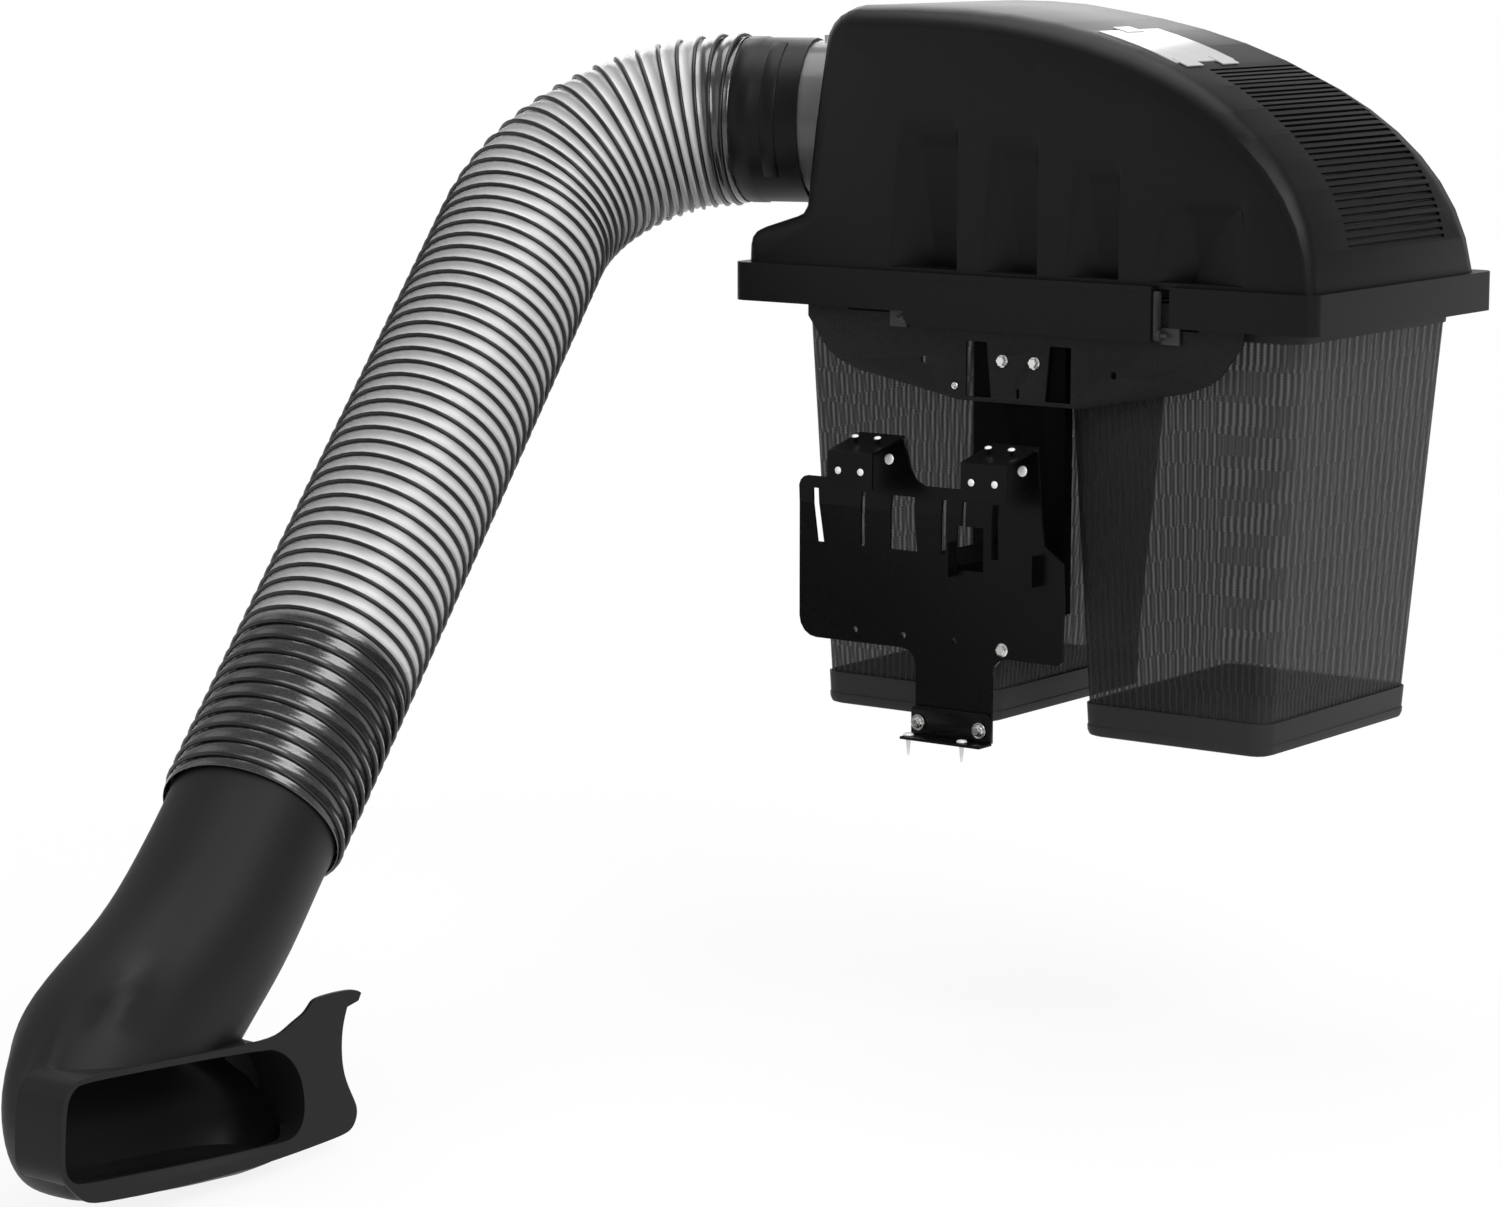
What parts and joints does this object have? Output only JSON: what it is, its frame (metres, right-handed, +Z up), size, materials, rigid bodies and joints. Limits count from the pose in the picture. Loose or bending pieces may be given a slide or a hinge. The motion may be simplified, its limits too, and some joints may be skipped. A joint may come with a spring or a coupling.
{
  "type": "twin bagger",
  "caption": "Rear grass collector for a ride-on mower: hinged hood over net bags, wire-wound hose with a boot, mount plate and hooked hitch bracket.",
  "frame": {"origin": "on the front face of the lower bracket, at the height of the arm, where the mower's hitch holds it", "axes": "+Z up, +X to the right seen from the mower, -Y towards the mower and out of the bracket's front face"},
  "size_m": [1.1573, 1.6597, 1.2161],
  "materials": {
    "black_plastic": "satin moulded",
    "bag_plastic": "matt moulded",
    "net": "fine net",
    "black_steel": "satin powder coat",
    "clear_plastic": "clear",
    "hose_film": "clear film over black wire",
    "zinc": "zinc plated",
    "white_metal": "bright"
  },
  "bodies": {
    "base": {"arm": "black_steel", "bag_net_left": "net", "bag_net_right": "net", "bag_pan_left": "bag_plastic", "bag_pan_right": "bag_plastic", "bag_rim_left": "bag_plastic", "bag_rim_right": "bag_plastic", "boot": "black_plastic", "bracket_bolt": "zinc", "foot_angle": "black_steel", "foot_bolt_left": "zinc", "foot_bolt_right": "zinc", "foot_pin_left": "white_metal", "foot_pin_right": "white_metal", "foot_washer_left": "zinc", "foot_washer_right": "zinc", "hinge_bracket_left": "black_steel", "hinge_bracket_right": "black_steel", "hinge_pin_left": "zinc", "hinge_pin_right": "zinc", "hose": "hose_film", "lower_bracket": "black_steel", "mount_bolt_left": "zinc", "mount_bolt_right": "zinc", "mount_plate": "black_steel", "plate_screw": "zinc", "post": "black_steel", "rivet_left_1": "white_metal", "rivet_left_2": "white_metal", "rivet_left_3": "white_metal", "rivet_left_4": "white_metal", "rivet_left_5": "white_metal", "rivet_right_1": "white_metal", "rivet_right_2": "white_metal", "rivet_right_3": "white_metal", "rivet_right_4": "white_metal", "rivet_right_5": "white_metal", "support_frame": "black_steel"},
    "hood": {"hood_shell": "black_plastic", "hood_window": "clear_plastic", "hood_neck": "clear_plastic", "hose_collar": "black_plastic", "hinge_arm_left": "black_steel", "hinge_arm_right": "black_steel"}
  },
  "joints": [
    {"name": "hood_hinge", "type": "hinge", "parent": "base", "child": "hood", "pos_m": [0, 0.1712, 0.29], "axis": [1, 0, 0], "range_deg": [0, 60], "deforming": ["hose"]}
  ]
}
